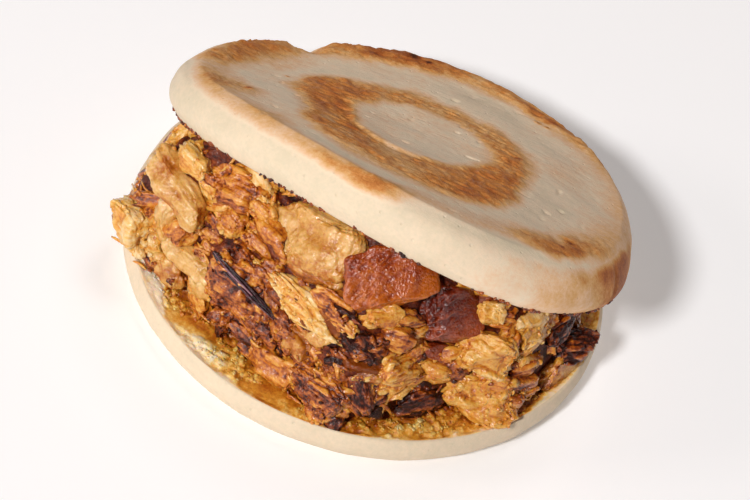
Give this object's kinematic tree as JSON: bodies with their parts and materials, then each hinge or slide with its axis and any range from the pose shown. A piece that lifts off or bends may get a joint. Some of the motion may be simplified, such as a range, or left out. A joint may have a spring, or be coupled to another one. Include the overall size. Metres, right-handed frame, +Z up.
{
  "type": "roujiamo",
  "caption": "Flat round bread slit and propped open by a heap of chopped braised pork, its lid tilted up at the front.",
  "frame": {"origin": "middle of the lower bread half's flat underside, on the surface that it rests on", "axes": "+Z up; the open mouth of the bread looks along -Y; +X is to the right seen from the mouth"},
  "size_m": [0.11, 0.1121, 0.0658],
  "materials": {
    "griddled_bread": "dry floury griddled crust and soft crumb",
    "chopped_pork": "moist chopped braised pork",
    "tan_pork": "moist pale cooked pork",
    "lean_pork": "moist dark lean pork",
    "strand_pork": "moist pulled pork strands",
    "pork_fat": "soft translucent fat",
    "pork_rind": "glossy braised skin",
    "rind_crisp": "dark crisp glossy skin"
  },
  "bodies": {
    "root": {"bun_bottom": "griddled_bread", "bun_top": "griddled_bread", "pork_heap": "chopped_pork", "pork_slab_left": "tan_pork", "pork_lobe_left": "tan_pork", "pork_tan_upper": "tan_pork", "pork_lean_dark": "lean_pork", "pork_strands": "strand_pork", "pork_fat": "pork_fat", "pork_rind_large": "pork_rind", "pork_rind_small": "pork_rind", "pork_lean_front": "lean_pork", "pork_lump_front": "lean_pork", "pork_fat_right": "tan_pork", "pork_wedge_right": "tan_pork", "pork_pale_right": "tan_pork", "pork_tip_right": "rind_crisp"}
  },
  "joints": []
}
